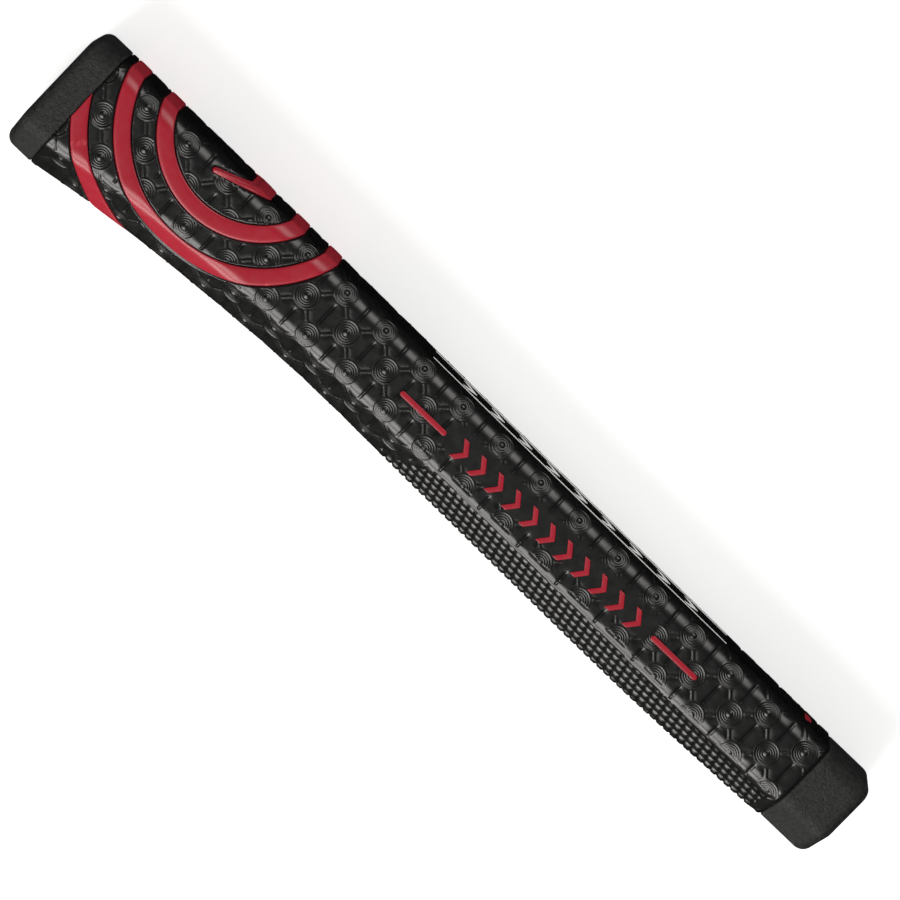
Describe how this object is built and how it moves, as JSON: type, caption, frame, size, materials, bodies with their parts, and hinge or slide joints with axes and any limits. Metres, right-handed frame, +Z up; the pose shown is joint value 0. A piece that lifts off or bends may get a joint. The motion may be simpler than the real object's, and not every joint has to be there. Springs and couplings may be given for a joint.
{
  "type": "putter grip",
  "caption": "Pistol-shaped golf putter grip: textured wrap over a foam core, flat thumb side, ribbed V-shaped back, and rubber caps at both ends.",
  "frame": {"origin": "on the axis of the shaft bore, where the end of the shaft stops inside the butt cap", "axes": "+X along the bore from the butt to the mouth, +Y towards the flat front where the thumbs rest, +Z up through one side, as the grip lies on its other side; Z = 0 is its plane of symmetry"},
  "size_m": [0.267, 0.036, 0.0312],
  "materials": {
    "skin": "satin moulded polyurethane skin with an embossed pattern",
    "cap_rubber": "matt moulded rubber with a fine grain",
    "felt": "dense needled felt",
    "foam": "closed-cell foam",
    "red_inlay": "satin coloured polyurethane",
    "white_inlay": "satin coloured polyurethane"
  },
  "bodies": {
    "root": {"butt_cap": "cap_rubber", "core_sleeve": "foam", "felt_backing": "felt", "front_chevrons": "white_inlay", "hoop_inlay_middle": "red_inlay", "hoop_inlay_outer": "red_inlay", "hoop_inlay_wide": "red_inlay", "outer_skin": "skin", "side_chevrons_far": "red_inlay", "side_chevrons_near": "red_inlay", "side_dashes_far": "red_inlay", "side_dashes_near": "red_inlay", "sight_lines": "white_inlay", "stroke_inlay": "red_inlay", "tip_bar": "red_inlay", "tip_cap": "cap_rubber"}
  },
  "joints": []
}
